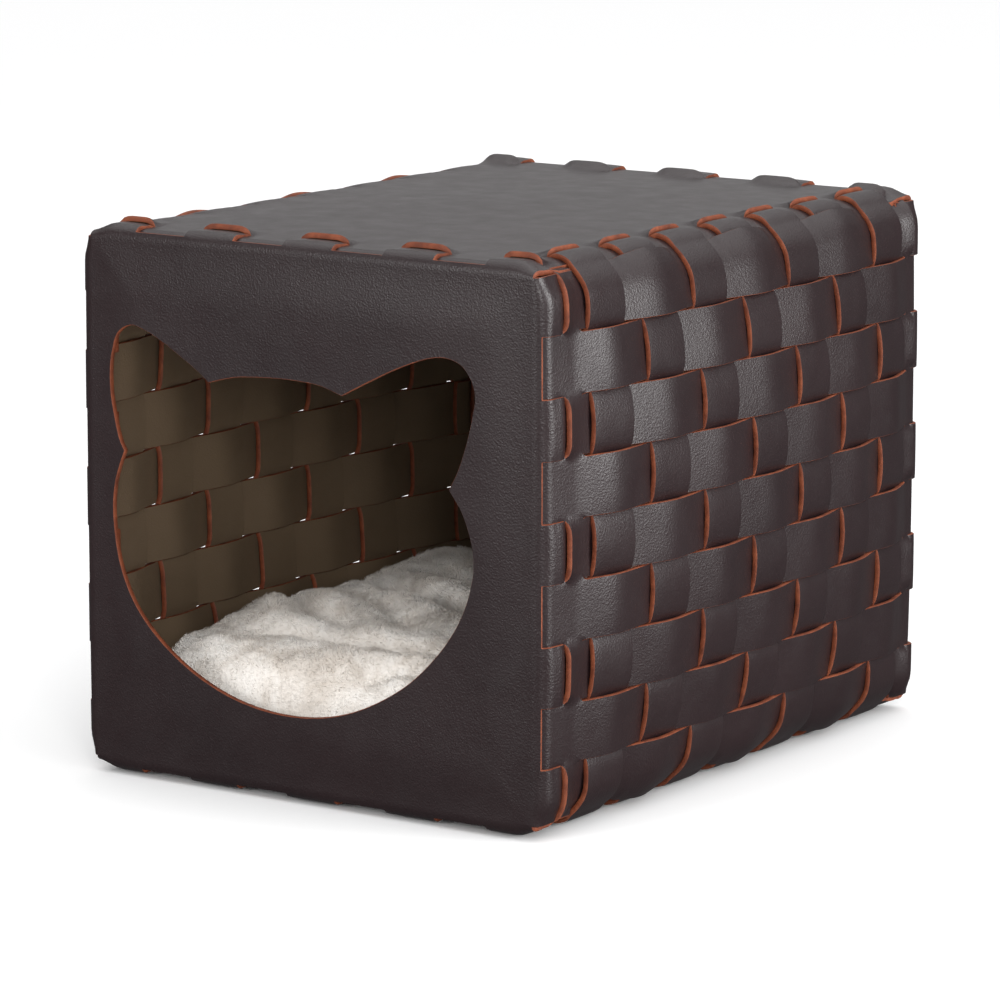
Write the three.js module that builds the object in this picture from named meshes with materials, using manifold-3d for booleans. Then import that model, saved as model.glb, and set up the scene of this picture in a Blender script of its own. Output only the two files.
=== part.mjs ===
// A pet house laced from thick two-tone leather: four plain or slit panels on
// each side of a box, woven side walls, and a loose fur cushion inside.
// Millimetres, +Z up, origin on the floor under the middle of the box, the
// cat-head doorway facing -Y.
import * as THREE from 'three';
import { mergeVertices } from 'three/addons/utils/BufferGeometryUtils.js';
import Module from 'manifold-3d';

const wasm = await Module();
wasm.setup();

// ---- driving dimensions -----------------------------------------------------
const W = 350;            // width of the box over the tabs, X
const D = 450;            // depth of the box, front face to back face, Y
const H = 350;            // height, Z
const T = 3.5;            // leather of the panels and vertical straps
const TS = 3.2;           // leather where a strip or tab leaves a panel
const ROWS = 9;           // horizontal strips of a side wall, also edge modules
const PITCH = 37.2;       // height of a row and width of an edge module
const ROW_TOP = 342.4;    // top edge of row 1
const SLIT = 0.6;         // half the slit between two rows
const STRAP_W = 36;       // width of a vertical strap
const STRAP_PITCH = 56;   // from one vertical strap to the next
const STRAP_FIRST = -179; // front edge of the first vertical strap, right wall
const STRAPS = 7;
const AH = 3.9;           // how far a horizontal strip steps in or out
const AV = 1.4;           // how far a vertical strap steps in or out
const BOW = 18;           // how far the middle of a woven wall bellies out
const XS = 169.45;        // middle surface of a side wall at its margins
const ZP = 344.45;        // middle surface of the top panel
const YP = 223.25;        // middle surface of the front and back panels
const RT = 8;             // bend of tabs and straps over an edge
const RF = 6;             // bend of the flaps tucked behind a panel
const CUSHION_TOP = 92;

const LEATHER = () => new THREE.MeshStandardMaterial({ color: 0x33292a, roughness: 0.5, metalness: 0 });
const FUR = () => new THREE.MeshStandardMaterial({ color: 0xd9d2c8, roughness: 1, metalness: 0 });

// ---- helpers ----------------------------------------------------------------
const bowAt = (y, z) => {
  const u = Math.min(1, Math.max(0, (y + D / 2) / D));
  const v = Math.min(1, Math.max(0, (z - 9) / (H - 18)));
  return BOW * (1 - Math.pow(Math.abs(2 * u - 1), 2.4)) * (1 - Math.pow(Math.abs(2 * v - 1), 2.6));
};

// moves every vertex outward by the belly of the woven walls
function bow(geometry) {
  const p = geometry.attributes.position;
  for (let i = 0; i < p.count; i++) {
    const x = p.getX(i);
    const w = Math.min(1, Math.max(0, (Math.abs(x) - 120) / 25));
    p.setX(i, x + Math.sign(x) * w * bowAt(p.getY(i), p.getZ(i)));
  }
  return geometry;
}

// the two sides of a strip of constant thickness along a polyline
function sides(points, t) {
  const left = [], right = [];
  const n = points.length;
  for (let i = 0; i < n; i++) {
    const a = points[Math.max(0, i - 1)], b = points[i], c = points[Math.min(n - 1, i + 1)];
    const d1 = new THREE.Vector2(b[0] - a[0], b[1] - a[1]);
    const d2 = new THREE.Vector2(c[0] - b[0], c[1] - b[1]);
    if (i === 0) d1.copy(d2);
    if (i === n - 1) d2.copy(d1);
    d1.normalize(); d2.normalize();
    const nx = -(d1.y + d2.y), ny = d1.x + d2.x;
    const len = Math.hypot(nx, ny);
    const cosHalf = len / 2;
    const m = (t / 2) / cosHalf;
    left.push(new THREE.Vector2(b[0] + (nx / len) * m, b[1] + (ny / len) * m));
    right.push(new THREE.Vector2(b[0] - (nx / len) * m, b[1] - (ny / len) * m));
  }
  return [left, right];
}

// closed outline of such a strip
function outline(points, t) {
  const [left, right] = sides(points, t);
  return new THREE.Shape([...left, ...right.reverse()]);
}

// a strip in X-Z, width w along Y from y0, its flanks divided square across
function ribbon(points, t, y0, w) {
  const [left, right] = sides(points, t);
  const n = points.length, position = [], index = [];
  for (const y of [y0, y0 + w]) for (const side of [left, right]) for (const p of side) position.push(p.x, y, p.y);
  const at = (far, side, i) => (far * 2 + side) * n + i;
  const quad = (a, b, c, d) => index.push(a, b, c, a, c, d);
  for (let i = 0; i < n - 1; i++) {
    quad(at(0, 0, i), at(0, 1, i), at(0, 1, i + 1), at(0, 0, i + 1));
    quad(at(1, 0, i), at(1, 0, i + 1), at(1, 1, i + 1), at(1, 1, i));
    quad(at(0, 0, i), at(0, 0, i + 1), at(1, 0, i + 1), at(1, 0, i));
    quad(at(0, 1, i), at(1, 1, i), at(1, 1, i + 1), at(0, 1, i + 1));
  }
  quad(at(0, 0, 0), at(1, 0, 0), at(1, 1, 0), at(0, 1, 0));
  quad(at(0, 0, n - 1), at(0, 1, n - 1), at(1, 1, n - 1), at(1, 0, n - 1));
  const g = new THREE.BufferGeometry();
  g.setAttribute('position', new THREE.Float32BufferAttribute(position, 3));
  g.setIndex(index);
  return g;
}

const extrude = (shape, depth) => new THREE.ExtrudeGeometry(shape, { depth, bevelEnabled: false, steps: 1 });

function mapped(geometry, fn) {
  const p = geometry.attributes.position;
  for (let i = 0; i < p.count; i++) {
    const [x, y, z] = fn(p.getX(i), p.getY(i), p.getZ(i));
    p.setXYZ(i, x, y, z);
  }
  return geometry;
}
// profile in X-Y, raised along Z from z0
const alongZ = (shape, z0, depth) => mapped(extrude(shape, depth), (a, b, c) => [a, b, c + z0]);
// profile in X-Z, running along Y from y0 to y0 + depth
const alongY = (shape, y0, depth) => mapped(extrude(shape, depth), (a, b, c) => [a, y0 + depth - c, b]);
// profile in Y-Z, running along X from x0
const alongX = (shape, x0, depth) => mapped(extrude(shape, depth), (a, b, c) => [c + x0, a, b]);

function arc(cx, cy, r, from, to, steps) {
  const out = [];
  for (let i = 0; i <= steps; i++) {
    const q = THREE.MathUtils.degToRad(from + ((to - from) * i) / steps);
    out.push([cx + r * Math.cos(q), cy + r * Math.sin(q)]);
  }
  return out;
}

function box(x0, x1, y0, y1, z0, z1) {
  const g = new THREE.BoxGeometry(x1 - x0, y1 - y0, z1 - z0);
  g.translate((x0 + x1) / 2, (y0 + y1) / 2, (z0 + z1) / 2);
  return g;
}

// a slab with its own levels along Y and Z
function slab(x0, x1, ys, zs) {
  const g = new THREE.BoxGeometry(1, ys.length - 1, zs.length - 1, 1, ys.length - 1, zs.length - 1);
  return mapped(g, (x, y, z) => [
    x < 0 ? x0 : x1,
    ys[Math.round(y + (ys.length - 1) / 2)],
    zs[Math.round(z + (zs.length - 1) / 2)],
  ]);
}

function bare(geometry) {
  geometry.deleteAttribute('normal');
  geometry.deleteAttribute('uv');
  return mergeVertices(geometry, 1e-4);
}

function solid(geometry) {
  const g = bare(geometry);
  return new wasm.Manifold(new wasm.Mesh({
    numProp: 3,
    vertProperties: new Float32Array(g.attributes.position.array),
    triVerts: new Uint32Array(g.index.array),
  }));
}

function geometryOf(manifold) {
  const m = manifold.getMesh();
  const g = new THREE.BufferGeometry();
  g.setAttribute('position', new THREE.BufferAttribute(new Float32Array(m.vertProperties), 3));
  g.setIndex(new THREE.BufferAttribute(new Uint32Array(m.triVerts), 1));
  g.computeVertexNormals();
  return g;
}

const join = (list) => list.slice(1).reduce((a, b) => a.add(b), list[0]);

// ---- rows, modules and straps -----------------------------------------------
const rowTop = (i) => ROW_TOP - PITCH * (i - 1);           // i = 1..9 from the top
const rowBottom = (i) => rowTop(i) - PITCH;
const moduleStart = (j) => -PITCH * ROWS / 2 + PITCH * (j - 1); // j = 1..9 from -X
const strapFront = (k) => STRAP_FIRST + STRAP_PITCH * (k - 1);
const strapOver = (i, k) => (i + k) % 2 === 0;

// ---- the woven side wall: one sheet with nine strips --------------------------
function sideSheet() {
  const zs = [];
  for (let i = ROWS; i >= 1; i--) zs.push(rowBottom(i));
  zs.push(rowTop(1) - 0.4);
  const parts = [
    solid(bow(slab(XS - T / 2, XS + T / 2, [-215.3, -207, -199, -191, -187], zs))),
    solid(bow(slab(XS - T / 2, XS + T / 2, [200, 204, 208, 212, 215.3], zs))),
  ];
  for (let i = 1; i <= ROWS; i++) {
    const z0 = rowBottom(i) + SLIT, depth = PITCH - 2 * SLIT - (i === 1 ? 0.4 : 0);
    const path = [[XS, -192], [XS, -189]];
    for (let k = 1; k <= STRAPS; k++) {
      const x = XS + (strapOver(i, k) ? -AH : AH);
      path.push([x, strapFront(k) - 1], [x, strapFront(k) + STRAP_W + 1]);
    }
    path.push([XS, 202.5], [XS, 206]);
    parts.push(solid(bow(alongZ(outline(path, TS), z0, depth))));
    if (i % 2 === 0) {
      // flap turned in behind the front panel, and its twin at the back
      const flap = [[XS, -208], ...arc(XS - RF, -213.45, RF, 0, -90, 3), [146, -219.45]];
      const twin = flap.map(([x, y]) => [x, -y]);
      parts.push(solid(bow(alongZ(outline(flap, TS), z0, depth))));
      parts.push(solid(bow(alongZ(outline(twin, TS), z0, depth))));
    }
  }
  let sheet = join(parts);
  for (let i = 1; i <= ROWS; i += 2) {
    const z0 = rowBottom(i) + 0.1, z1 = rowTop(i) - (i === 1 ? -0.1 : 0.1);
    sheet = sheet.subtract(solid(box(150, 200, -208, -199, z0, z1)));
    sheet = sheet.subtract(solid(box(150, 200, 207.5, 214.2, z0, z1)));
  }
  return geometryOf(sheet);
}

// ---- one vertical strap of the right wall --------------------------------------
function strap(k) {
  const topOver = strapOver(1, k), lowOver = strapOver(ROWS, k);
  const xt = XS + (topOver ? AV : -AV), xl = XS + (lowOver ? AV : -AV);
  const zc = H - 1.75 - RT;
  const path = [[127, 9.35], [147, 9.35], [154, 1.75], ...arc(xl - RT, H - zc, RT, -90, 0, 4)];
  for (let i = ROWS - 1; i >= 1; i--) {
    const zb = rowBottom(i);
    const below = XS + (strapOver(i + 1, k) ? AV : -AV);
    const above = XS + (strapOver(i, k) ? AV : -AV);
    path.push([below, zb - 6], [above, zb + 6]);
  }
  path.push(...arc(xt - RT, zc, RT, 0, 90, 4), [154, H - 1.75], [147, H - 9.35], [127, H - 9.35]);
  return bow(ribbon(path, T, strapFront(k), STRAP_W));
}

// ---- front and back panels ----------------------------------------------------
// inner edge of the cat-head doorway, X and Z on the front face
const DOOR = [
  [-133, 287.5], [-143.5, 281.5], [-147.8, 270.5], [-149.8, 260], [-149.6, 244], [-146.1, 226.5],
  [-142.6, 214.6], [-138.7, 207.7], [-142.8, 198.5], [-146.9, 186], [-148.6, 169.4], [-146.8, 150.2],
  [-142.5, 132.6], [-133.9, 114.2], [-121.3, 98], [-104, 83.2], [-82, 70], [-55.6, 60], [-27.4, 55.1],
  [0.5, 55.2], [26.3, 60.1], [51.1, 70.1], [74.2, 84.1], [92.6, 100.5], [107.3, 118.2], [117.5, 136.4],
  [123.3, 155.9], [123.6, 171.1], [120.3, 184.6], [114.5, 197.3], [106.4, 208], [113.3, 221.3],
  [119.5, 238.8], [123.4, 254.3], [125.2, 266.5], [121.6, 277], [114.3, 284.7], [102.7, 287.8],
  [88.8, 285.7], [68.2, 278.1], [47.5, 268.3], [27.4, 258], [11.6, 262.6], [-5.4, 264.1],
  [-24.8, 264.1], [-48.5, 262.6], [-60.8, 260.2], [-72.5, 257], [-82.9, 264.4], [-95.7, 272],
  [-109, 279.5], [-122.3, 285.3],
];

function facePanel(door) {
  const s = new THREE.Shape([[-164, 9], [164, 9], [164, 341], [-164, 341]].map(([x, z]) => new THREE.Vector2(x, z)));
  if (door) s.holes.push(new THREE.Path(DOOR.map(([x, z]) => new THREE.Vector2(x, z))));
  const parts = [solid(alongY(s, -YP - T / 2, T))];
  const over = [[-YP, 325], ...arc(-YP + RT, H - 1.75 - RT, RT, 180, 90, 4), [-207, H - 1.75], [-200, H - 9.35], [-194.6, H - 9.35]];
  const under = over.map(([y, z]) => [y, H - z]);
  const right = [[157, -YP], ...arc(W / 2 - 1.75 - RT, -YP + RT, RT, -90, 0, 4), [W / 2 - 1.75, -207], [165.65, -200], [165.65, -191]];
  const left = [[157, -YP], ...arc(W / 2 - 1.75 - RT, -YP + RT, RT, -90, 0, 4), [W / 2 - 1.75, -213.2], [165.65, -208.7], [165.65, -204.2]]
    .map(([x, y]) => [-x, y]);
  for (let j = 1; j <= ROWS; j += 2) {
    const x0 = Math.max(-163.4, moduleStart(j) + 0.4), x1 = Math.min(163.4, moduleStart(j) + PITCH - 0.4);
    const z0 = rowBottom(j) + 0.4, d = PITCH - 0.8;
    parts.push(solid(alongX(outline(over, TS), x0, x1 - x0)));
    parts.push(solid(alongX(outline(under, TS), x0, x1 - x0)));
    parts.push(solid(bow(alongZ(outline(right, TS), z0, d))));
    parts.push(solid(bow(alongZ(outline(left, TS), z0, d))));
  }
  return geometryOf(join(parts));
}

// ---- top and bottom panels -----------------------------------------------------
function levelPanel(z0, flip) {
  // the outer edge steps in by 7 mm where a strap turns over it
  const half = [];
  half.push([166, -215.3]);
  for (let k = 1; k <= STRAPS; k++) {
    const a = strapFront(k) - 1, b = strapFront(k) + STRAP_W + 1;
    half.push([166, a], [159, a], [159, b], [166, b]);
  }
  half.push([166, 215.3]);
  const ring = [...half, ...half.map(([x, y]) => [-x, -y])];
  const s = new THREE.Shape(ring.map(([x, y]) => new THREE.Vector2(x, y)));
  const parts = [solid(alongZ(s, z0, T))];
  const flap = [[-208, ZP], ...arc(-213.45, ZP - RF, RF, 90, 180, 3), [-219.45, 322]];
  for (let j = 2; j <= ROWS; j += 2) {
    const x0 = moduleStart(j) + SLIT, d = PITCH - 2 * SLIT;
    const a = flip ? flap.map(([y, z]) => [y, H - z]) : flap;
    parts.push(solid(alongX(outline(a, TS), x0, d)));
    parts.push(solid(alongX(outline(a.map(([y, z]) => [-y, z]), TS), x0, d)));
  }
  let panel = join(parts);
  const cut = (x0, x1, y0, y1) => {
    for (const q of [1, -1]) {
      panel = panel.subtract(solid(box(Math.min(q * x0, q * x1), Math.max(q * x0, q * x1), Math.min(q * y0, q * y1), Math.max(q * y0, q * y1), z0 - 2, z0 + T + 2)));
    }
  };
  for (let k = 1; k <= STRAPS; k++) cut(145.8, 155.2, strapFront(k) - 0.5, strapFront(k) + STRAP_W + 0.5);
  // the slits nearest the corners run out through the side edge
  for (let j = 1; j <= ROWS; j += 2) {
    const a = j === 1 ? -190 : moduleStart(j) - 0.1;
    const b = j === ROWS ? 190 : moduleStart(j) + PITCH + 0.1;
    cut(a, b, -208, -199);
  }
  return geometryOf(panel);
}

// ---- cushion --------------------------------------------------------------------
function cushionBody() {
  const nx = 10, ny = 12, nz = 3;
  const g = new THREE.BoxGeometry(2, 2, 1, nx, ny, nz);
  return bare(mapped(g, (u, v, w) => {
    const edge = Math.max(Math.abs(u), Math.abs(v));
    const level = w + 0.5;
    const round = 1 - 0.045 * Math.pow(Math.abs(2 * level - 1), 2);
    const corner = 1 - 0.035 * Math.pow(Math.abs(u * v), 3);
    const crown = 1 - 0.16 * Math.pow(edge, 4) - 0.05 * (u * u + v * v) / 2;
    return [u * 158 * round * corner, v * 212 * round * corner, 11.8 + level * (CUSHION_TOP - 11.8) * crown];
  }));
}

// ---- assembly ---------------------------------------------------------------------
const house = new THREE.Group();
house.name = 'pet_house';
function add(name, geometry, material, parent = house) {
  if (!geometry.attributes.normal) geometry.computeVertexNormals();
  const mesh = new THREE.Mesh(geometry, material);
  mesh.name = name;
  parent.add(mesh);
  return mesh;
}

add('front_panel', facePanel(true), LEATHER());
const back = add('back_panel', facePanel(false), LEATHER());
back.rotation.z = Math.PI;
add('top_panel', levelPanel(ZP - T / 2, false), LEATHER());
add('bottom_panel', levelPanel(H - ZP - T / 2, true), LEATHER());

const rightWall = new THREE.Group();
const leftWall = new THREE.Group();
leftWall.rotation.z = Math.PI;
house.add(rightWall, leftWall);
add('right_wall', sideSheet(), LEATHER(), rightWall);
add('left_wall', sideSheet(), LEATHER(), leftWall);
for (let k = 1; k <= STRAPS; k++) {
  add(`right_strap_${k}`, strap(k), LEATHER(), rightWall);
  add(`left_strap_${STRAPS + 1 - k}`, strap(k), LEATHER(), leftWall);
}
add('cushion', cushionBody(), FUR());

export default house;
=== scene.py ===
# Pet house laced from two-tone leather, with a loose fur cushion.
# Everything is worked out in millimetres in the frame's axes and written in metres.
import math

import bpy
import numpy as np
from mathutils import Matrix, Vector
from mathutils.geometry import delaunay_2d_cdt
from mathutils.kdtree import KDTree


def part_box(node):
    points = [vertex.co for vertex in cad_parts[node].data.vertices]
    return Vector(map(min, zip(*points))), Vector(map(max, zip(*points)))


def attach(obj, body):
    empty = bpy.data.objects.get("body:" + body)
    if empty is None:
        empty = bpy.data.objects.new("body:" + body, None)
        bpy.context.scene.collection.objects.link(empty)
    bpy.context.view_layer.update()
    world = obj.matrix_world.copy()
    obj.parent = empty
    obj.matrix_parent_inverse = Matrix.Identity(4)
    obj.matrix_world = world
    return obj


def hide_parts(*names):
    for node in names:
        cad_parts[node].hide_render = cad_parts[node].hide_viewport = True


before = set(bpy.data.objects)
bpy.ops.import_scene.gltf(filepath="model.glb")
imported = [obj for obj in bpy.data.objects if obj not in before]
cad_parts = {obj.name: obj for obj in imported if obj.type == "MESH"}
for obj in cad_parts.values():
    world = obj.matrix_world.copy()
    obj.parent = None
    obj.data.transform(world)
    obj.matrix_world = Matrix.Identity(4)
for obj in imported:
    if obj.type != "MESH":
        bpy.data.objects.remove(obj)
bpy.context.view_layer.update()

# ---------------------------------------------------------------- dimensions
W, D, H = 350.0, 450.0, 350.0
T = 3.5
ROWS, PITCH, ROW_TOP = 9, 37.2, 342.4
STRAP_W, STRAP_PITCH, STRAP_FIRST, STRAPS = 36.0, 56.0, -179.0, 7
AH, AV = 3.5, 2.3          # steps of the horizontal strips and of the straps
BOW = 18.0
XS = 169.45                # middle surface of a side wall
ZP = 344.45                # middle surface of the top panel
YP = 223.25                # middle surface of the front and back panels
RC = 22.0                  # bend of a side wall into the top and the bottom
RT = 8.0                   # bend of the front and back tabs
RF = 6.0                   # bend of the flaps behind them
S0 = ZP - RC               # where the bend begins, along the wall
S1 = S0 + RC * math.pi / 2 # where it ends, on the level panel
HALF = 165.25              # half the flat part of a front panel
SLIT_S = S1 + 1.6          # the straps' slits, along the wall
SLIT_Y = -203.0            # the tabs' slits, long margin
SLIT_Y2 = -210.0           # the tabs' slits, short margin


def smooth(a, b, v):
    t = np.clip((v - a) / (b - a), 0.0, 1.0)
    return t * t * (3 - 2 * t)


def bow_at(y, z):
    u = np.clip((y + D / 2) / D, 0, 1)
    v = np.clip((z - 9) / (H - 18), 0, 1)
    return BOW * (1 - np.abs(2 * u - 1) ** 2.4) * (1 - np.abs(2 * v - 1) ** 2.6)


def row_top(i):
    return ROW_TOP - PITCH * (i - 1)


def strap_front(k):
    return STRAP_FIRST + STRAP_PITCH * (k - 1)


def over(i, k):
    return (i + k) % 2 == 0


# ---------------------------------------------------------------- materials
def node(nt, kind, x=0, y=0, **inputs):
    n = nt.nodes.new(kind)
    n.location = (x, y)
    for key, value in inputs.items():
        n.inputs[key].default_value = value
    return n


def material(name):
    m = bpy.data.materials.new(name)
    m.use_nodes = True
    nt = m.node_tree
    nt.nodes.clear()
    out = node(nt, "ShaderNodeOutputMaterial", 900, 0)
    bsdf = node(nt, "ShaderNodeBsdfPrincipled", 600, 0)
    nt.links.new(bsdf.outputs[0], out.inputs[0])
    coord = node(nt, "ShaderNodeTexCoord", -1100, 0)
    return m, nt, bsdf, coord.outputs["Object"]


def noise(nt, vec, scale, detail=3.0, rough=0.5, distortion=0.0):
    n = node(nt, "ShaderNodeTexNoise", -700, 0)
    n.inputs["Scale"].default_value = scale
    n.inputs["Detail"].default_value = detail
    n.inputs["Roughness"].default_value = rough
    n.inputs["Distortion"].default_value = distortion
    nt.links.new(vec, n.inputs["Vector"])
    return n.outputs[0]


def ramp(nt, fac, stops):
    r = node(nt, "ShaderNodeValToRGB", -300, 200)
    el = r.color_ramp.elements
    while len(el) < len(stops):
        el.new(0.5)
    for e, (p, c) in zip(el, stops):
        e.position = p
        e.color = (*c, 1.0) if len(c) == 3 else c
    nt.links.new(fac, r.inputs[0])
    return r.outputs[0]


def math_node(nt, op, a, b=None):
    n = nt.nodes.new("ShaderNodeMath")
    n.operation = op
    for i, v in enumerate((a, b)):
        if v is None:
            continue
        if isinstance(v, (int, float)):
            n.inputs[i].default_value = v
        else:
            nt.links.new(v, n.inputs[i])
    return n.outputs[0]


def bump(nt, height, strength, distance, normal=None):
    b = nt.nodes.new("ShaderNodeBump")
    b.inputs["Strength"].default_value = strength
    b.inputs["Distance"].default_value = distance
    nt.links.new(height, b.inputs["Height"])
    if normal is not None:
        nt.links.new(normal, b.inputs["Normal"])
    return b.outputs[0]


def voronoi(nt, vec, scale, feature="F1", randomness=1.0):
    n = nt.nodes.new("ShaderNodeTexVoronoi")
    n.feature = feature
    n.inputs["Scale"].default_value = scale
    n.inputs["Randomness"].default_value = randomness
    nt.links.new(vec, n.inputs["Vector"])
    return n.outputs["Distance"]


def leather(name, dark, mid, light, rough_lo, rough_hi, spec, grain, sheen=0.0):
    m, nt, bsdf, vec = material(name)
    cloud = noise(nt, vec, 9.0, 4.0, 0.55)
    col = ramp(nt, cloud, [(0.3, dark), (0.52, mid), (0.74, light)])
    nt.links.new(col, bsdf.inputs["Base Color"])
    fine = noise(nt, vec, 55.0, 3.0, 0.6)
    r = nt.nodes.new("ShaderNodeMapRange")
    r.inputs["From Min"].default_value = 0.3
    r.inputs["From Max"].default_value = 0.7
    r.inputs["To Min"].default_value = rough_lo
    r.inputs["To Max"].default_value = rough_hi
    nt.links.new(fine, r.inputs["Value"])
    nt.links.new(r.outputs[0], bsdf.inputs["Roughness"])
    bsdf.inputs["Specular IOR Level"].default_value = spec
    bsdf.inputs["Sheen Weight"].default_value = sheen
    pebble = voronoi(nt, vec, 920.0, "SMOOTH_F1")
    crease = voronoi(nt, vec, 660.0, "DISTANCE_TO_EDGE")
    crease = math_node(nt, "MINIMUM", crease, 0.12)
    wrinkle = noise(nt, vec, 520.0, 3.0, 0.55, 0.4)
    soft = noise(nt, vec, 26.0, 3.0, 0.5)
    n1 = bump(nt, soft, 0.35, 0.0006)
    n2 = bump(nt, wrinkle, grain * 0.4, 0.00028, n1)
    n3 = bump(nt, crease, grain * 0.5, 0.00042, n2)
    n4 = bump(nt, pebble, grain, 0.0003, n3)
    nt.links.new(n4, bsdf.inputs["Normal"])
    return m


OUTER = leather("leather_outer", (0.0118, 0.0050, 0.0058), (0.0138, 0.0060, 0.0068), (0.016, 0.0072, 0.0080), 0.37, 0.44, 0.55, 0.5)
INNER = leather("leather_inner", (0.115, 0.078, 0.046), (0.135, 0.093, 0.056), (0.155, 0.108, 0.067), 0.62, 0.74, 0.35, 0.35)


def edge_material():
    m, nt, bsdf, vec = material("leather_edge")
    cloud = noise(nt, vec, 120.0, 5.0, 0.65)
    col = ramp(nt, cloud, [(0.25, (0.085, 0.019, 0.008)), (0.5, (0.17, 0.041, 0.016)), (0.75, (0.26, 0.070, 0.028))])
    nt.links.new(col, bsdf.inputs["Base Color"])
    bsdf.inputs["Roughness"].default_value = 0.62
    bsdf.inputs["Specular IOR Level"].default_value = 0.35
    n1 = bump(nt, noise(nt, vec, 420.0, 4.0, 0.7), 0.5, 0.0004)
    nt.links.new(n1, bsdf.inputs["Normal"])
    return m


EDGE = edge_material()


# ---------------------------------------------------------------- sheets of leather
def mesh_object(name, verts, faces, mats, face_mat=None, smooth_faces=True):
    me = bpy.data.meshes.new(name)
    me.from_pydata([tuple(v) for v in (verts / 1000.0).tolist()], [], faces)
    for m in mats:
        me.materials.append(m)
    if face_mat is not None:
        me.polygons.foreach_set("material_index", np.asarray(face_mat, dtype=np.int32))
    me.polygons.foreach_set("use_smooth", np.full(len(me.polygons), smooth_faces))
    me.update()
    ob = bpy.data.objects.new(name, me)
    bpy.context.scene.collection.objects.link(ob)
    return ob


def sheet_solid(name, P, tris, out_hint, t=T, bevel=0.5):
    """A sheet of thickness t round the middle surface P: finished face, flesh face and cut edge."""
    P = np.asarray(P, float)
    tris = np.asarray(tris, int)
    e1, e2 = P[tris[:, 1]] - P[tris[:, 0]], P[tris[:, 2]] - P[tris[:, 0]]
    fn = np.cross(e1, e2)
    N = np.zeros_like(P)
    for c in range(3):
        np.add.at(N, tris[:, c], fn)
    N /= np.maximum(np.linalg.norm(N, axis=1), 1e-9)[:, None]
    hint = np.asarray(out_hint, float)
    if hint.ndim == 1:
        hint = np.tile(hint, (len(P), 1))
    if (N * hint).sum() < 0:
        tris = tris[:, ::-1]
        N = -N
    # boundary edges, oriented as in their triangle
    E = np.concatenate([tris[:, [0, 1]], tris[:, [1, 2]], tris[:, [2, 0]]])
    key = np.minimum(E[:, 0], E[:, 1]).astype(np.int64) * len(P) + np.maximum(E[:, 0], E[:, 1])
    uniq, idx, cnt = np.unique(key, return_index=True, return_counts=True)
    B = E[idx[cnt == 1]]
    side = np.cross(P[B[:, 1]] - P[B[:, 0]], (N[B[:, 0]] + N[B[:, 1]]) / 2)
    side /= np.maximum(np.linalg.norm(side, axis=1), 1e-9)[:, None]
    O = np.zeros_like(P)
    np.add.at(O, B[:, 0], side)
    np.add.at(O, B[:, 1], side)
    bverts = np.unique(B)
    O[bverts] /= np.maximum(np.linalg.norm(O[bverts], axis=1), 1e-9)[:, None]
    n = len(P)
    rim = np.full(n, -1)
    rim[bverts] = np.arange(len(bverts))
    top, bot = P + N * t / 2, P - N * t / 2
    r1 = P[bverts] + N[bverts] * (t / 2 - bevel) + O[bverts] * bevel * 0.8
    r2 = P[bverts] - N[bverts] * (t / 2 - bevel) + O[bverts] * bevel * 0.8
    verts = np.concatenate([top, bot, r1, r2])
    o1, o2 = 2 * n, 2 * n + len(bverts)
    faces = tris.tolist() + (tris[:, ::-1] + n).tolist()
    mats = [0] * len(tris) + [1] * len(tris)
    a, b = B[:, 0], B[:, 1]
    q = [
        np.stack([b, a, o1 + rim[a], o1 + rim[b]], 1),
        np.stack([o1 + rim[b], o1 + rim[a], o2 + rim[a], o2 + rim[b]], 1),
        np.stack([o2 + rim[b], o2 + rim[a], n + a, n + b], 1),
    ]
    for quad in q:
        faces += quad.tolist()
        mats += [2] * len(quad)
    ob = mesh_object(name, verts, faces, [OUTER, INNER, EDGE], mats)
    me = ob.data
    ed = np.zeros(len(me.edges) * 2, np.int32)
    me.edges.foreach_get("vertices", ed)
    ed = ed.reshape(-1, 2)
    total = len(verts)
    ekey = np.minimum(ed[:, 0], ed[:, 1]).astype(np.int64) * total + np.maximum(ed[:, 0], ed[:, 1])
    lo, hi = np.minimum(a, b), np.maximum(a, b)
    sharp = np.concatenate([lo.astype(np.int64) * total + hi, (lo + n).astype(np.int64) * total + hi + n])
    attr = me.attributes.get("sharp_edge") or me.attributes.new("sharp_edge", "BOOLEAN", "EDGE")
    attr.data.foreach_set("value", np.isin(ekey, sharp))
    me.update()
    return ob


def resample(loop, step):
    pts = []
    n = len(loop)
    for i in range(n):
        a, b = np.array(loop[i], float), np.array(loop[(i + 1) % n], float)
        k = max(1, int(math.ceil(np.linalg.norm(b - a) / step)))
        for j in range(k):
            pts.append(a + (b - a) * j / k)
    return np.array(pts)


def inside(points, loops):
    x, y = points[:, 0], points[:, 1]
    odd = np.zeros(len(points), bool)
    for loop in loops:
        a = loop
        b = np.roll(loop, -1, axis=0)
        for (x0, y0), (x1, y1) in zip(a, b):
            if y0 == y1:
                continue
            hit = ((y0 > y) != (y1 > y)) & (x < (x1 - x0) * (y - y0) / (y1 - y0) + x0)
            odd ^= hit
    return odd


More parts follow.
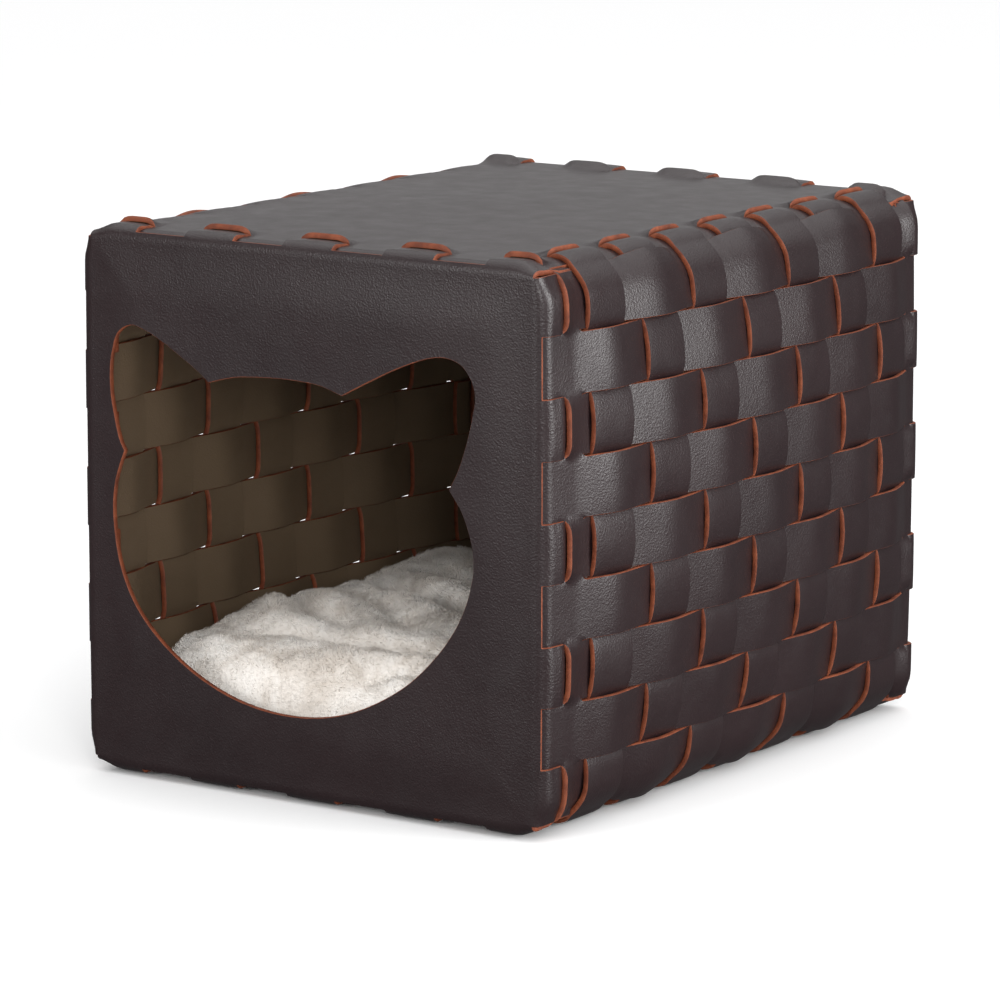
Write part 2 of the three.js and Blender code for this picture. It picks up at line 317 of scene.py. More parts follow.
def cut_sheet(outer, holes, points, step=2.0, keep=1.1):
    """Triangles of a flat pattern: its outline, its holes and inner points."""
    loops = [resample(outer, step)] + [resample(h, step) for h in holes]
    bpts = np.concatenate(loops)
    tree = KDTree(len(bpts))
    for i, p in enumerate(bpts):
        tree.insert((p[0], p[1], 0.0), i)
    tree.balance()
    points = points[inside(points, [np.asarray(outer, float)] + [np.asarray(h, float) for h in holes])]
    free = np.array([tree.find((p[0], p[1], 0.0))[2] > keep for p in points], bool)
    points = points[free]
    verts = np.concatenate([bpts, points])
    edges = []
    start = 0
    for l in loops:
        n = len(l)
        edges += [(start + i, start + (i + 1) % n) for i in range(n)]
        start += n
    res = delaunay_2d_cdt([Vector((float(p[0]), float(p[1]))) for p in verts], edges, [], 0, 1e-4)
    V = np.array([(v.x, v.y) for v in res[0]])
    F = np.array([f for f in res[2] if len(f) == 3], int)
    cen = V[F].mean(axis=1)
    F = F[inside(cen, loops)]
    used = np.unique(F)
    remap = np.full(len(V), -1)
    remap[used] = np.arange(len(used))
    return V[used], remap[F]


def grid_points(xs, ys):
    gx, gy = np.meshgrid(xs, ys, indexing="ij")
    return np.stack([gx.ravel(), gy.ravel()], 1)


def axis_points(lo, hi, coarse, fine_zones=(), fine=1.6):
    """Levels from lo to hi, close together inside the zones."""
    out = [lo]
    v = lo
    while v < hi:
        step = fine if any(a - fine <= v <= b for a, b in fine_zones) else coarse
        v += step
        out.append(v)
    return np.array(out)


# ---------------------------------------------------------------- slits and lips
# a slit: (u, v) of its middle, which way it runs, half its length, which side is the far one, height of the lip
def lips(uv, slits):
    r = np.zeros(len(uv))
    for u0, v0, along, half, far, high in slits:
        if along == "v":
            t, d = (uv[:, 1] - v0) / half, (uv[:, 0] - u0) * far
        else:
            t, d = (uv[:, 0] - u0) / half, (uv[:, 1] - v0) * far
        near = np.abs(t) < 1.25
        tt = np.clip(np.abs(t), 0, 1.25)
        w = np.where(tt < 1, (1 - tt ** 6), 0.0)
        up = high * w * np.exp(-np.abs(d / 8.5) ** 1.5)
        dn = -3.2 * w * np.exp(-np.abs(d / 8.0) ** 2)
        r += np.where(near, np.where(d >= 0, up, dn), 0.0)
    return r


def slit_hole(u0, v0, along, half, gap=0.35):
    if along == "v":
        return [(u0 - gap, v0 - half), (u0 + gap, v0 - half), (u0 + gap, v0 + half), (u0 - gap, v0 + half)]
    return [(u0 - half, v0 - gap), (u0 + half, v0 - gap), (u0 + half, v0 + gap), (u0 - half, v0 + gap)]


# ---------------------------------------------------------------- side walls
def wall_point(s, y, off):
    """s runs up the wall, round the bend and along the level panel; off is along the outward normal."""
    m = np.where(s > H / 2, s, H - s)
    th = np.clip((m - S0) / RC, 0, math.pi / 2)
    x = XS - RC + (RC + off) * np.cos(th)
    z = S0 + (RC + off) * np.sin(th)
    z = np.where(m < S0, m, z)
    x = np.where(m > S1, XS - RC - (m - S1), x)
    z = np.where(s > H / 2, z, H - z)
    x = x + bow_at(y, z)
    return np.stack([x, y, z], 1)


def strip_offset(i, y):
    """How far strip i stands out of the wall's middle surface at y."""
    half = STRAP_W / 2
    ys, vs = [-400.0, strap_front(1) - 17.0], [0.0, 0.0]
    for k in range(1, STRAPS + 1):
        ys.append(strap_front(k) + half)
        vs.append(-3.3 if over(i, k) else 5.2)
    ys += [strap_front(STRAPS) + STRAP_W + 13.0, 400.0]
    vs += [0.0, 0.0]
    ys, vs = np.array(ys), np.array(vs)
    j = np.clip(np.searchsorted(ys, y) - 1, 0, len(ys) - 2)
    t = np.clip((y - ys[j]) / (ys[j + 1] - ys[j]), 0, 1)
    t = 0.5 - 0.5 * np.cos(math.pi * (t + 0.035 * np.sin(2 * math.pi * t)))
    return vs[j] + (vs[j + 1] - vs[j]) * t


def row_of(s):
    return np.clip(np.floor((ROW_TOP - s) / PITCH).astype(int) + 1, 1, ROWS)


def side_wall():
    m0, m1 = -187.0, 201.0
    outer = []
    front_flap, back_flap = -213.45 - RF * math.pi / 2 - 17, 213.45 + RF * math.pi / 2 + 17
    # up the back edge and down the front edge
    left, right = [], []
    for i in range(ROWS, 0, -1):
        b, t = row_top(i) - PITCH, row_top(i)
        g = 0.5
        f = front_flap if i % 2 == 0 else -215.3
        k = back_flap if i % 2 == 0 else 215.3
        left += [(f, b + g), (f, t - g)]
        right += [(k, b + g), (k, t - g)]
    outer = left + right[::-1]
    holes = []
    for i in range(1, ROWS):
        z = row_top(i) - PITCH
        holes.append([(m0, z - 0.62), (m1, z - 0.62), (m1, z + 0.62), (m0, z + 0.62)])
    slits = []
    for i in range(1, ROWS + 1, 2):
        c = row_top(i) - PITCH / 2
        half = 17.9
        holes.append(slit_hole(SLIT_Y, c, "v", half))
        holes.append(slit_hole(-SLIT_Y2, c, "v", half))
        slits.append((SLIT_Y, c, "v", half, 1, 4.3))
        slits.append((-SLIT_Y2, c, "v", half, -1, 4.0))
    us = np.concatenate([np.arange(front_flap + 1.5, -180, 1.9), np.arange(-180, 190, 2.6), np.arange(190, back_flap - 1, 1.9)])
    vs = []
    for i in range(ROWS, 0, -1):
        b, t = row_top(i) - PITCH, row_top(i)
        vs += [b + 1.9, b + 4.2, b + 8, b + 12, b + 16, b + 20, b + 24, b + 28.5, b + 33, t - 1.9]
    V, F = cut_sheet(outer, holes, grid_points(us, np.array(vs)), step=2.4, keep=1.0)
    cen = V[F].mean(axis=1)
    y, s = V[:, 0], V[:, 1]
    # a vertex belongs to one row; the margins don't weave
    rows = row_of(s)
    off = np.zeros(len(V))
    for i in range(1, ROWS + 1):
        sel = rows == i
        off[sel] = strip_offset(i, y[sel])
        c = row_top(i) - PITCH / 2
        # the edges of a strip are pinched by the straps that cross them
        frac = np.clip(np.abs(s[sel] - c) / (PITCH / 2), 0, 1)
        off[sel] *= 1 - 0.10 * frac ** 3
    off += lips(V, slits)
    # top and bottom strips hug the bend
    hug = smooth(0, 22, np.maximum(s - 322, 28 - s))
    off += 0.9 * hug * (off > 1.0)
    yc = np.clip(y, -213.45, 213.45)
    P = wall_point(s, yc, off)
    beyond = np.abs(y) - 213.45
    th = np.clip(beyond / RF, 0, math.pi / 2)
    dx = np.where(beyond > 0, -RF + RF * np.cos(th) - np.maximum(beyond - RF * math.pi / 2, 0), 0)
    dy = np.where(beyond > 0, RF * np.sin(th) * np.sign(y), 0)
    P[:, 0] += dx
    P[:, 1] += dy
    hint = np.zeros_like(P)
    hint[:, 0] = 1
    return P, F, hint


def strap(k, flush=False):
    """A vertical strap of the right wall: middle surface on a grid."""
    s_lo = H - (S1 + 26)
    s_hi = S1 + 26
    ss = np.concatenate([np.arange(s_lo, 12, 1.7), np.arange(12, 338, 1.9), np.arange(338, s_hi + 0.1, 1.7)])
    ws = np.array([-18, -16.8, -14, -10, -5, 0, 5, 10, 14, 16.8, 18.0])
    S, Wd = np.meshgrid(ss, ws, indexing="ij")
    m = np.where(S > H / 2, S, H - S)
    r = (ROW_TOP - S) / PITCH
    i = np.clip(np.floor(r).astype(int) + 1, 1, ROWS)
    frac = r - np.floor(r)
    sign = np.where((i + k) % 2 == 0, 1.0, -1.0)
    f = sign * np.tanh(2.4 * np.sin(math.pi * frac)) / math.tanh(2.4)
    f = np.where((S > ROW_TOP) | (S < ROW_TOP - ROWS * PITCH), 0.0, f)
    off = AV * f
    # a strap that lies outside swells between the rows above and below
    off += np.where(f > 0, 0.8 * np.sin(math.pi * frac) ** 2, 0)
    up = smooth(332, 348, m)
    high = np.where(flush & (S > H / 2), 0.7, 3.75)
    off = off * (1 - up) + high * up
    dive = smooth(SLIT_S - 6.0, SLIT_S + 6.0, m)
    off = off - (high + 3.7) * dive
    # rounded across where it turns over the edge
    off -= 0.7 * (np.abs(Wd) / 18) ** 3 * np.exp(-((m - SLIT_S) / 9) ** 2)
    off -= 0.25 * (np.abs(Wd) / 18) ** 4
    y = strap_front(k) + STRAP_W / 2 + Wd
    P = wall_point(S.ravel(), y.ravel(), off.ravel())
    ny = len(ws)
    F = []
    for a in range(len(ss) - 1):
        for b in range(ny - 1):
            q = a * ny + b
            F += [(q, q + 1, q + ny + 1), (q, q + ny + 1, q + ny)]
    hint = np.stack([np.where(m < S0 + 10, 1, 0.3), np.zeros_like(m), np.where(m < S0 + 10, 0, np.where(S > H / 2, 1, -1))], -1).reshape(-1, 3)
    return P, np.array(F), hint


# ---------------------------------------------------------------- front and back panels
DOOR = [
    (-133, 287.5), (-143.5, 281.5), (-147.8, 270.5), (-149.8, 260), (-149.6, 244), (-146.1, 226.5),
    (-142.6, 214.6), (-138.7, 207.7), (-142.8, 198.5), (-146.9, 186), (-148.6, 169.4), (-146.8, 150.2),
    (-142.5, 132.6), (-133.9, 114.2), (-121.3, 98), (-104, 83.2), (-82, 70), (-55.6, 60), (-27.4, 55.1),
    (0.5, 55.2), (26.3, 60.1), (51.1, 70.1), (74.2, 84.1), (92.6, 100.5), (107.3, 118.2), (117.5, 136.4),
    (123.3, 155.9), (123.6, 171.1), (120.3, 184.6), (114.5, 197.3), (106.4, 208), (113.3, 221.3),
    (119.5, 238.8), (123.4, 254.3), (125.2, 266.5), (121.6, 277), (114.3, 284.7), (102.7, 287.8),
    (88.8, 285.7), (68.2, 278.1), (47.5, 268.3), (27.4, 258), (11.6, 262.6), (-5.4, 264.1),
    (-24.8, 264.1), (-48.5, 262.6), (-60.8, 260.2), (-72.5, 257), (-82.9, 264.4), (-95.7, 272),
    (-109, 279.5), (-122.3, 285.3),
]
CORNERS = {7, 30, 41, 47}


def door_loop():
    n = len(DOOR)
    P = [np.array(p, float) for p in DOOR]
    out = []
    for i in range(n):
        p1, p2 = P[i], P[(i + 1) % n]
        p0 = P[i - 1] if i not in CORNERS else p1 - (p2 - p1)
        p3 = P[(i + 2) % n] if (i + 1) % n not in CORNERS else p2 + (p2 - p1)
        for j in range(6):
            t = j / 6
            out.append(0.5 * ((2 * p1) + (-p0 + p2) * t + (2 * p0 - 5 * p1 + 4 * p2 - p3) * t * t + (-p0 + 3 * p1 - 3 * p2 + p3) * t ** 3))
    out = np.array(out)
    out[:, 1] -= H / 2
    return out


def tab_profile(e, long_side=True):
    """e: distance past the flat part of the panel. Returns how far out and how far back."""
    rt = RT - 1.3
    arc = rt * math.pi / 2
    th = np.clip(e / rt, 0, math.pi / 2)
    p = rt * np.sin(th)
    q = rt * (1 - np.cos(th)) + np.maximum(e - arc, 0)
    slit = (YP + SLIT_Y) if long_side else (YP + SLIT_Y2)
    w = 6.5 if long_side else 4.5
    p = p - 6.8 * smooth(slit - w, slit + w, q)
    return p, q


def face_panel(door):
    """Flat pattern in (x, z - H/2); tabs on the odd modules of all four edges, notches between them."""
    N_OUT, L_TAB, S_TAB = (4.2 if door else 0.6), 41.0, 25.0
    lim = HALF - 0.4
    edge = []
    for j in range(1, ROWS + 1):
        a = -PITCH * ROWS / 2 + PITCH * (j - 1)
        b = a + PITCH
        if j % 2 == 1:
            edge.append((max(a + 0.35, -lim), min(b - 0.35, lim), True))
        else:
            edge.append((a + 0.35, b - 0.35, False))
    outer = []
    # right edge upward, top edge to the left, left edge down, bottom edge to the right
    for sgn, axis, reverse in ((1, 0, False), (1, 1, True), (-1, 0, True), (-1, 1, False)):
        seq = edge[::-1] if reverse else edge
        for a, b, tab in seq:
            if reverse:
                a, b = b, a
            if tab:
                length = S_TAB if (axis == 0 and sgn == -1) else L_TAB
            else:
                length = N_OUT
            o = sgn * (HALF + length)
            if axis == 0:
                outer += [(o, a), (o, b)]
            else:
                outer += [(a, o), (b, o)]
    # close the little steps between modules with a shared inner point
    fixed = []
    n = len(outer)
    for i in range(n):
        p, q = outer[i], outer[(i + 1) % n]
        fixed.append(p)
        if i % 2 == 1:
            if abs(abs(p[0]) - abs(q[0])) > 0.5 and abs(abs(p[1]) - abs(q[1])) > 0.5:
                # either a step between a tab and a notch, or a corner of the panel
                if abs(p[0]) > HALF and abs(q[0]) > HALF:
                    s = math.copysign(HALF + N_OUT, p[0])
                    fixed += [(s, p[1]), (s, q[1])]
                elif abs(p[1]) > HALF and abs(q[1]) > HALF:
                    s = math.copysign(HALF + N_OUT, p[1])
                    fixed += [(p[0], s), (q[0], s)]
                else:
                    cx = math.copysign(lim, p[0] if abs(p[0]) > HALF else q[0])
                    cz = math.copysign(lim, q[1] if abs(q[1]) > HALF else p[1])
                    fixed += [(cx, cz)]
    outer = fixed
    holes = [door_loop()] if door else []
    far = HALF + L_TAB + 3
    zones = [(-far, -HALF + 2), (HALF - 2, far)]
    xs = axis_points(-far, far, 4.2, zones, 1.9)
    V, F = cut_sheet(outer, holes, grid_points(xs, xs), step=2.2, keep=1.1)
    a, b = V[:, 0], V[:, 1]
    ea, eb = np.abs(a) - HALF, np.abs(b) - HALF
    x, z = a.copy(), b + H / 2
    y = np.full(len(V), -YP)
    # right and left edges
    for sgn in (1, -1):
        sel = (ea > 0) & (np.sign(a) == sgn) & (ea >= eb)
        p, q = tab_profile(ea[sel], sgn == 1)
        p = p * (1 - 0.7 * smooth(150, 166, np.abs(b[sel])))
        x[sel] = sgn * (HALF + p)
        y[sel] = -YP + q
        c = np.round((b[sel] - PITCH * 0) / (2 * PITCH)) * 2 * PITCH
        t = np.clip(np.abs(b[sel] - c) / 18.6, 0, 1)
        x[sel] -= sgn * 1.0 * t ** 3 * smooth(6, 14, ea[sel])
    for sgn in (1, -1):
        sel = (eb > 0) & (np.sign(b) == sgn) & (eb > ea)
        p, q = tab_profile(eb[sel], True)
        p = p * (1 - 0.7 * smooth(150, 166, np.abs(a[sel])))
        z[sel] = H / 2 + sgn * (HALF + p)
        y[sel] = -YP + q
        c = np.round(a[sel] / (2 * PITCH)) * 2 * PITCH
        t = np.clip(np.abs(a[sel] - c) / 18.6, 0, 1)
        z[sel] -= sgn * 1.0 * t ** 3 * smooth(6, 14, eb[sel])
    w = np.clip((np.abs(x) - 120) / 25, 0, 1)
    x = x + np.sign(x) * w * bow_at(y, z)
    # the panel is not dead flat: it pulls back softly towards its laced edges
    e = np.maximum(np.abs(a), np.abs(b))
    y += 1.6 * smooth(128, 166, e) * (ea < 0) * (eb < 0) + 1.6 * ((ea >= 0) | (eb >= 0))
    y += 0.5 * np.sin(a * 0.021 + 0.6) * np.cos(b * 0.018 - 0.4) * (1 - smooth(130, 165, e))
    P = np.stack([x, y, z], 1)
    hint = np.zeros_like(P)
    hint[:, 1] = -1
    return P, F, hint


# ---------------------------------------------------------------- top and bottom panels
def level_panel(top=True):
    x_strap, x_gap = XS - RC + 12.0, XS - RC + 20.5
    half = [(x_strap, -217.5)]
    for k in range(1, STRAPS + 1):
        a, b = strap_front(k) - 0.5, strap_front(k) + STRAP_W + 0.5
        if k == 1:
            half += [(x_strap, b)]
        else:
            half += [(x_gap, a), (x_strap, a), (x_strap, b)]
        if k < STRAPS:
            half += [(x_gap, b)]
    half += [(x_strap, 217.5)]
    # front and back edges: flaps on the even modules
    flap = 213.45 + RF * math.pi / 2 + 15
    back = []
    for j in range(ROWS, 0, -1):
        a = -PITCH * ROWS / 2 + PITCH * (j - 1)
        b = a + PITCH
        if j % 2 == 0:
            back += [(b - 0.5, 217.5), (b - 0.5, flap), (a + 0.5, flap), (a + 0.5, 217.5)]
    ring = half + back + [(-x, -y) for x, y in half] + [(-x, -y) for x, y in back]
    holes, slits = [], []
    xs0 = XS - RC - (SLIT_S - S1)
    for k in range(1, STRAPS + 1):
        c = strap_front(k) + STRAP_W / 2
        for q in (1, -1):
            holes.append(slit_hole(q * xs0, q * c, "v", 18.2))
            slits.append((q * xs0, q * c, "v", 18.2, -q, (4.9 if q == 1 else 1.2) if top else 3.5))
    for j in range(1, ROWS + 1, 2):
        a = max(-PITCH * ROWS / 2 + PITCH * (j - 1), -157.5)
        b = min(-PITCH * ROWS / 2 + PITCH * j, 157.5)
        for q in (1, -1):
            holes.append(slit_hole((a + b) / 2 * q, q * SLIT_Y, "u", (b - a) / 2 - 0.4))
            slits.append(((a + b) / 2 * q, q * SLIT_Y, "u", (b - a) / 2 - 0.4, q, 5.7 if top else 3.5))
    xs = axis_points(-170, 170, 5.0, [(-171, -118), (118, 171)], 2.0)
    ys = axis_points(-240, 240, 5.0, [(-241, -178), (178, 241)], 2.0)
    extra = grid_points(xs, ys)
    V, F = cut_sheet(ring, holes, extra, step=2.4, keep=1.1)
    a, b = V[:, 0], V[:, 1]
    off = lips(V, slits)
    off += 2.6 * np.clip(1 - (a / 150) ** 2, 0, 1) * np.clip(1 - (b / 205) ** 2, 0, 1)
    off += 0.6 * np.sin(a * 0.03 + 1.1) * np.sin(b * 0.023) * np.clip(1 - (a / 140) ** 4, 0, 1) * np.clip(1 - (b / 190) ** 4, 0, 1)
    if not top:
        off = lips(V, slits)
    else:
        # under the flush straps the left edge is pressed in
        for k in range(1, STRAPS + 1):
            c = -(strap_front(k) + STRAP_W / 2)
            inside_y = 1 - smooth(17.0, 19.5, np.abs(b - c))
            off = np.where(a < -xs0, off * (1 - inside_y) - 3.3 * inside_y, off)
    e = np.abs(a) - (XS - RC)
    th = np.clip(e / RC, 0, math.pi / 2)
    x = np.where(e > 0, np.sign(a) * (XS - RC + (RC + off) * np.sin(th)), a)
    z = np.where(e > 0, S0 + (RC + off) * np.cos(th), ZP + off)
    y = b.copy()
    g = np.abs(b) - 213.45
    tg = np.clip(g / RF, 0, math.pi / 2)
    y = np.where(g > 0, np.sign(b) * (213.45 + RF * np.sin(tg)), y)
    z = np.where(g > 0, z - RF * (1 - np.cos(tg)) - np.maximum(g - RF * math.pi / 2, 0), z)
    if not top:
        z = H - z
    P = np.stack([x, y, z], 1)
    hint = np.zeros_like(P)
    hint[:, 2] = 1 if top else -1
    return P, F, hint


def turned(P, hint):
    return P * np.array([-1, -1, 1]), hint * np.array([-1, -1, 1])


def piece(name, P, F, hint, replaces, body="house"):
    ob = sheet_solid(name, P, F, hint)
    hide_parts(replaces)
    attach(ob, body)
    return ob


P, F, h = face_panel(True)
piece("front_leather", P, F, h, "front_panel")
P, F, h = face_panel(False)
P, h = turned(P, h)
piece("back_leather", P, F, h, "back_panel")
P, F, h = level_panel(True)
piece("top_leather", P, F, h, "top_panel")
P, F, h = level_panel(False)
piece("bottom_leather", P, F, h, "bottom_panel")
P, F, h = side_wall()
piece("right_wall_leather", P, F, h, "right_wall")
P, h = turned(P, h)
piece("left_wall_leather", P, F, h, "left_wall")
for k in range(1, STRAPS + 1):
    P, F, h = strap(k)
    piece(f"right_strap_leather_{k}", P, F, h, f"right_strap_{k}")
    P, F, h = strap(k, True)
    P, h = turned(P, h)
    piece(f"left_strap_leather_{STRAPS + 1 - k}", P, F, h, f"left_strap_{STRAPS + 1 - k}")


# ---------------------------------------------------------------- cushion
def fur_material():
    m, nt, bsdf, vec = material("cream_fur")
    c1 = noise(nt, vec, 30.0, 5.0, 0.62, 0.8)
    col = ramp(nt, c1, [(0.25, (0.52, 0.46, 0.40)), (0.5, (0.74, 0.695, 0.645)), (0.75, (0.87, 0.845, 0.81))])
    nt.links.new(col, bsdf.inputs["Base Color"])
    bsdf.inputs["Roughness"].default_value = 0.9
    bsdf.inputs["Specular IOR Level"].default_value = 0.15
    bsdf.inputs["Sheen Weight"].default_value = 0.35
    bsdf.inputs["Sheen Roughness"].default_value = 0.5
    n1 = bump(nt, noise(nt, vec, 240.0, 5.0, 0.7, 0.8), 0.7, 0.0015)
    nt.links.new(n1, bsdf.inputs["Normal"])
    return m


FUR = fur_material()
from mathutils import noise as mnoise


def field(shape, lo, hi, step, seed):
    """Smooth value noise over a grid of points, worked out coarsely and stretched bilinearly."""
    x, y = shape
    gx = np.arange(lo[0] - step, hi[0] + 2 * step, step / 2)
    gy = np.arange(lo[1] - step, hi[1] + 2 * step, step / 2)
    g = np.array([[mnoise.noise(Vector((a / step, b / step, seed))) for b in gy] for a in gx])
    fx, fy = (x - gx[0]) / (step / 2), (y - gy[0]) / (step / 2)
    i, j = np.clip(fx.astype(int), 0, len(gx) - 2), np.clip(fy.astype(int), 0, len(gy) - 2)
    a, b = smooth(0, 1, fx - i), smooth(0, 1, fy - j)
    return (g[i, j] * (1 - a) + g[i + 1, j] * a) * (1 - b) + (g[i, j + 1] * (1 - a) + g[i + 1, j + 1] * a) * b


HX, HY = 157.0, 211.0
# creases of the loose cover: points of the line, depth, width, and how much the far side rises
CREASES = [
    ([(-108, -150), (-60, -143), (-5, -150), (50, -152), (100, -130)], 11, 9, 7),
    ([(-140, -60), (-105, -84), (-70, -112), (-45, -120)], 9, 9, 6),
    ([(-128, 22), (-95, 4), (-60, -16), (-10, -42), (40, -55)], 12, 9, 8),
    ([(-90, -40), (-55, -62), (-20, -92)], 6, 8, 4),
    ([(-20, 60), (30, 30), (90, 25), (130, 0)], 10, 10, 7),
    ([(-100, 110), (-50, 90), (0, 95), (60, 120)], 9, 10, 6),
    ([(20, 180), (70, 150), (120, 160)], 7, 9, 4),
    ([(40, -90), (90, -60), (140, -70)], 8, 9, 5),
    ([(0, -195), (50, -185), (110, -190)], 6, 8, 4),
]


def line_distance(x, y, pts):
    best = np.full(x.shape, 1e9)
    sign = np.zeros(x.shape)
    along = np.zeros(x.shape)
    total = sum(math.dist(a, b) for a, b in zip(pts, pts[1:]))
    run = 0.0
    for (ax, ay), (bx, by) in zip(pts, pts[1:]):
        L = math.dist((ax, ay), (bx, by))
        ux, uy = (bx - ax) / L, (by - ay) / L
        t = (x - ax) * ux + (y - ay) * uy
        tc = np.clip(t, 0, L)
        dx, dy = x - ax - tc * ux, y - ay - tc * uy
        d = np.sqrt(dx * dx + dy * dy)
        s = np.sign(ux * (y - ay) - uy * (x - ax))
        near = d < best
        best = np.where(near, d, best)
        sign = np.where(near, s, sign)
        along = np.where(near, (run + tc) / total, along)
        run += L
    return best * np.where(sign == 0, 1, sign), along


def cushion_top(x, y):
    """Height of the cushion's upper side above its seam, before the pile."""
    ex, ey = np.clip(HX - np.abs(x), 0, 34) / 34, np.clip(HY - np.abs(y), 0, 40) / 40
    r = np.clip(np.sqrt((1 - ex) ** 2 + (1 - ey) ** 2), 0, 1)
    rise = np.sqrt(np.clip(1 - r ** 2.6, 0, 1))
    h = 55.0 * rise
    h += rise * 5.0 * np.exp(-((x + 10) / 100) ** 2 - ((y - 20) / 150) ** 2)
    h += rise * 8.5 * np.exp(-((x + 118) / 42) ** 2 - ((y - 88) / 52) ** 2)
    h += rise * 5.0 * np.exp(-((x + 120) / 42) ** 2 - ((y + 72) / 50) ** 2)
    wob = field((x, y), (-HX, -HY), (HX, HY), 34.0, 2.3)
    for pts, depth, width, lift in CREASES:
        d, al = line_distance(x + 7 * wob, y - 7 * wob, pts)
        fade = np.sin(np.clip(al, 0.04, 0.96) * math.pi) ** 0.6
        h -= rise * fade * depth * np.exp(-np.abs(d / width) ** 1.6)
        far = np.exp(-((d - width * 2.0) / (width * 1.5)) ** 2)
        near = np.exp(-((d + width * 2.2) / (width * 1.9)) ** 2)
        h += rise * fade * lift * (far + 0.45 * near)
    h += rise * 5.0 * field((x, y), (-HX, -HY), (HX, HY), 62.0, 5.1)
    h += rise * 2.4 * wob
    return h


def cushion():
    lo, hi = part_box("cushion")
    base = lo[2] * 1000
    nu, nv = 190, 254
    U, V = np.meshgrid(np.linspace(-1, 1, nu), np.linspace(-1, 1, nv), indexing="ij")
    # the corners of the form pull in
    pull = 1 - 0.045 * (np.abs(U) * np.abs(V)) ** 4
    bulge_x = 1 - 0.018 * np.cos(V * math.pi) ** 2
    bulge_y = 1 - 0.018 * np.cos(U * math.pi) ** 2
    x, y = U * HX * pull * bulge_x, V * HY * pull * bulge_y
    seam = base + 17.0
    xs, ys = U * HX, V * HY
    top = seam + cushion_top(xs, ys)
    pile = field((x, y), (-HX, -HY), (HX, HY), 9.0, 9.4)
    fine = field((x, y), (-HX, -HY), (HX, HY), 3.4, 1.7)
    rim = np.clip((1 - np.maximum(np.abs(U), np.abs(V))) * 40, 0, 1)
    top += rim * (1.5 * pile + 0.8 * fine)
    top = np.minimum(top, 97.0 + 0.15 * (top - 97.0))
    ex, ey = np.clip(HX - np.abs(xs), 0, 26) / 26, np.clip(HY - np.abs(ys), 0, 26) / 26
    r = np.clip(np.sqrt((1 - ex) ** 2 + (1 - ey) ** 2), 0, 1)
    bot = seam - (17.0 - 0.6) * np.sqrt(np.clip(1 - r ** 2.4, 0, 1))
    verts = np.concatenate([np.stack([x, y, top], -1).reshape(-1, 3), np.stack([x, y, bot], -1).reshape(-1, 3)])
    n = nu * nv
    i, j = np.meshgrid(np.arange(nu - 1), np.arange(nv - 1), indexing="ij")
    q = (i * nv + j).ravel()
    up = np.stack([q, q + nv, q + nv + 1, q + 1], 1)
    dn = np.stack([n + q, n + q + 1, n + q + nv + 1, n + q + nv], 1)
    faces = up.tolist() + dn.tolist()
    ring = [a * nv for a in range(nu)] + [(nu - 1) * nv + b for b in range(1, nv)] + [a * nv + nv - 1 for a in range(nu - 2, -1, -1)] + [b for b in range(nv - 2, 0, -1)]
    for a, b in zip(ring, ring[1:] + ring[:1]):
        faces.append((b, a, n + a, n + b))
    grid = np.stack([x, y, top], -1)
    return mesh_object("fur_cushion", verts, faces, [FUR]), grid


def fur_pile(grid):
    """Short soft tufts standing on the upper side, combed by a slow noise."""
    rng = np.random.default_rng(7)
    count = 130000
    nu, nv = grid.shape[:2]
    fu, fv = rng.uniform(1, nu - 2.001, count), rng.uniform(1, nv - 2.001, count)
    i, j = fu.astype(int), fv.astype(int)
    a, b = (fu - i)[:, None], (fv - j)[:, None]
    p = (grid[i, j] * (1 - a) + grid[i + 1, j] * a) * (1 - b) + (grid[i, j + 1] * (1 - a) + grid[i + 1, j + 1] * a) * b
    n = np.cross(grid[i + 1, j] - grid[i, j], grid[i, j + 1] - grid[i, j])
    n /= np.linalg.norm(n, axis=1)[:, None]
    n[n[:, 2] < 0] *= -1
    box = ((p[:, 0], p[:, 1]), (-HX, -HY), (HX, HY))
    comb = np.stack([field(*box, 16.0, 3.3), field(*box, 16.0, 8.8), np.zeros(count)], 1) * 2.2
    comb += np.array([0.35, -0.25, 0.0])
    comb += rng.normal(0, 0.13, (count, 3)) * np.array([1, 1, 0.3])
    lean = comb - n * (comb * n).sum(1)[:, None]
    length = rng.uniform(3.0, 5.4, count)[:, None] * (1.0 + 0.35 * field(*box, 11.0, 6.1)[:, None])
    mid = p + (n * 0.62 + lean * 0.45) * length * 0.5
    tip = mid + (n * 0.22 + lean * 0.90) * length * 0.5
    side = np.cross(n, rng.normal(0, 1, (count, 3)))
    side /= np.maximum(np.linalg.norm(side, axis=1), 1e-6)[:, None]
    w = rng.uniform(0.11, 0.20, count)[:, None]
    root = p - n * 0.6
    verts = np.stack([root - side * w, root + side * w, mid - side * w * 0.7, mid + side * w * 0.7, tip], 1).reshape(-1, 3)
    k = np.arange(count)[:, None] * 5
    quads = (k + np.array([[0, 1, 3, 2]])).tolist()
    tris = (k + np.array([[2, 3, 4]])).tolist()
    return mesh_object("fur_pile", verts, quads + tris, [FUR])


pad, pad_grid = cushion()
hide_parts("cushion")
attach(pad, "cushion_pad")
pile = fur_pile(pad_grid)
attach(pile, "cushion_pad")

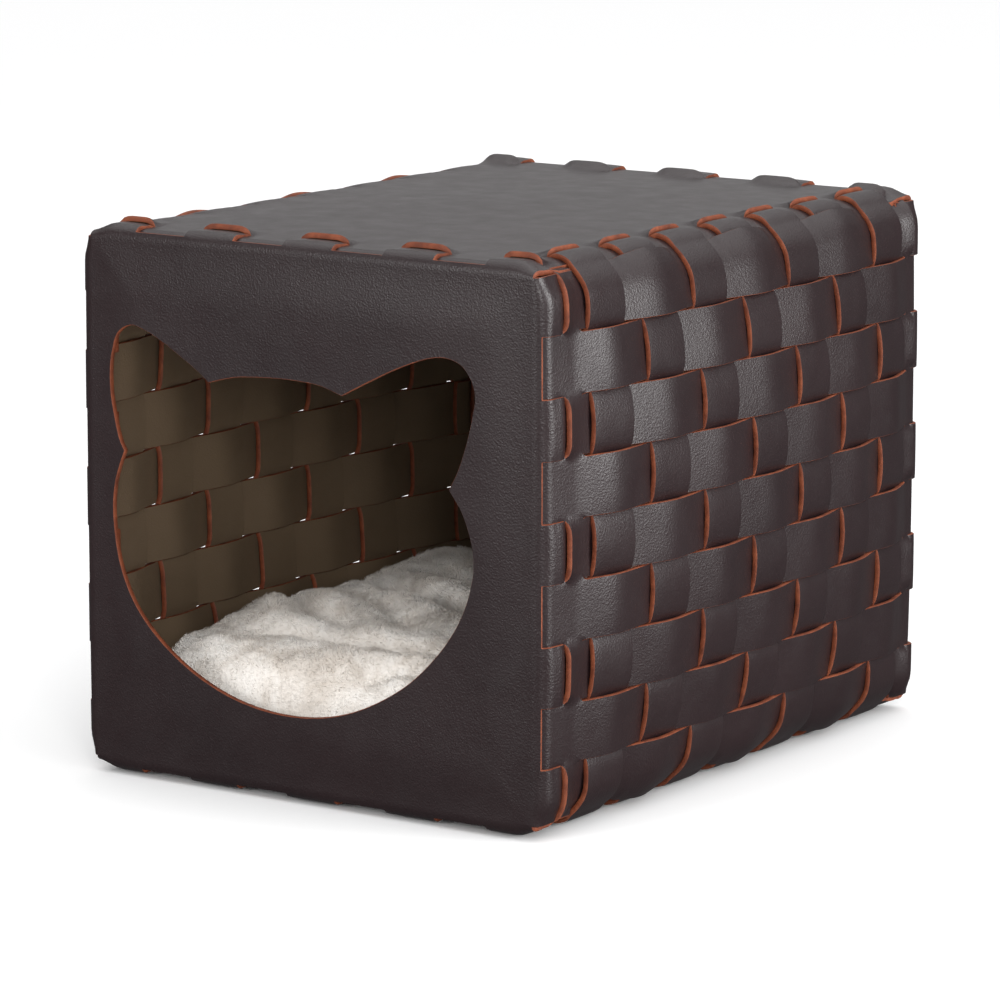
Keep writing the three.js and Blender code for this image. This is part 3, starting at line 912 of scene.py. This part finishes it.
# ---------------------------------------------------------------- floor, light, camera
floor_mesh = bpy.data.meshes.new("floor")
R = 14.0
floor_mesh.from_pydata([(-R, -R, -0.0005), (R, -R, -0.0005), (R, R, -0.0005), (-R, R, -0.0005)], [], [(0, 1, 2, 3)])
floor = bpy.data.objects.new("floor", floor_mesh)
bpy.context.scene.collection.objects.link(floor)
fm = bpy.data.materials.new("floor")
fm.use_nodes = True
fb = fm.node_tree.nodes["Principled BSDF"]
fb.inputs["Base Color"].default_value = (0.93, 0.93, 0.93, 1)
fb.inputs["Roughness"].default_value = 0.9
fb.inputs["Specular IOR Level"].default_value = 0.1
floor_mesh.materials.append(fm)

world = bpy.data.worlds.new("studio")
bpy.context.scene.world = world
world.use_nodes = True
bg = world.node_tree.nodes["Background"]
bg.inputs["Color"].default_value = (0.98, 0.98, 1.0, 1)
bg.inputs["Strength"].default_value = 0.12
floor.visible_glossy = False


def area(name, loc, target, size, power, size_y=None):
    l = bpy.data.lights.new(name, "AREA")
    l.shape = "RECTANGLE"
    l.size = size
    l.size_y = size_y or size
    l.energy = power
    o = bpy.data.objects.new(name, l)
    o.location = loc
    d = Vector(target) - Vector(loc)
    o.rotation_euler = d.to_track_quat("-Z", "Y").to_euler()
    bpy.context.scene.collection.objects.link(o)
    return o


sun_data = bpy.data.lights.new("overhead", "SUN")
sun_data.energy = 3.0
sun_data.angle = math.radians(110)
sun = bpy.data.objects.new("overhead", sun_data)
sun.rotation_euler = (math.radians(-4), math.radians(4), 0)
bpy.context.scene.collection.objects.link(sun)
area("right", (2.6, 0.38, 0.66), (0, 0, 0.2), 1.25, 66, 1.25)
area("front", (-0.60, -2.5, 0.75), (0, 0, 0.2), 0.7, 24, 0.7)
area("behind", (-1.9, 2.9, 1.2), (0, 0, 0.3), 2.2, 5, 1.2)
area("fill", (1.75, -2.3, 1.0), (-0.1, 0, 0.15), 0.8, 40, 0.9)

cam_data = bpy.data.cameras.new("camera")
cam = bpy.data.objects.new("camera", cam_data)
bpy.context.scene.collection.objects.link(cam)
bpy.context.scene.camera = cam
yaw, pitch, roll = math.radians(34.08), math.radians(10.52), math.radians(0.06)
cam.location = (1.8032, -2.6789, 0.7564)
fwd = Vector((-math.sin(yaw) * math.cos(pitch), math.cos(yaw) * math.cos(pitch), -math.sin(pitch)))
right = Vector((math.cos(yaw), math.sin(yaw), 0))
up = right.cross(fwd)
rr = right * math.cos(roll) + up * math.sin(roll)
uu = -right * math.sin(roll) + up * math.cos(roll)
cam.matrix_world = Matrix(((rr.x, uu.x, -fwd.x, cam.location.x), (rr.y, uu.y, -fwd.y, cam.location.y), (rr.z, uu.z, -fwd.z, cam.location.z), (0, 0, 0, 1)))
cam_data.sensor_width = 36.0
cam_data.lens = 5097 * 36 / 1000
cam_data.clip_end = 100
cam_data.dof.use_dof = False
bpy.context.scene.view_settings.view_transform = "Standard"
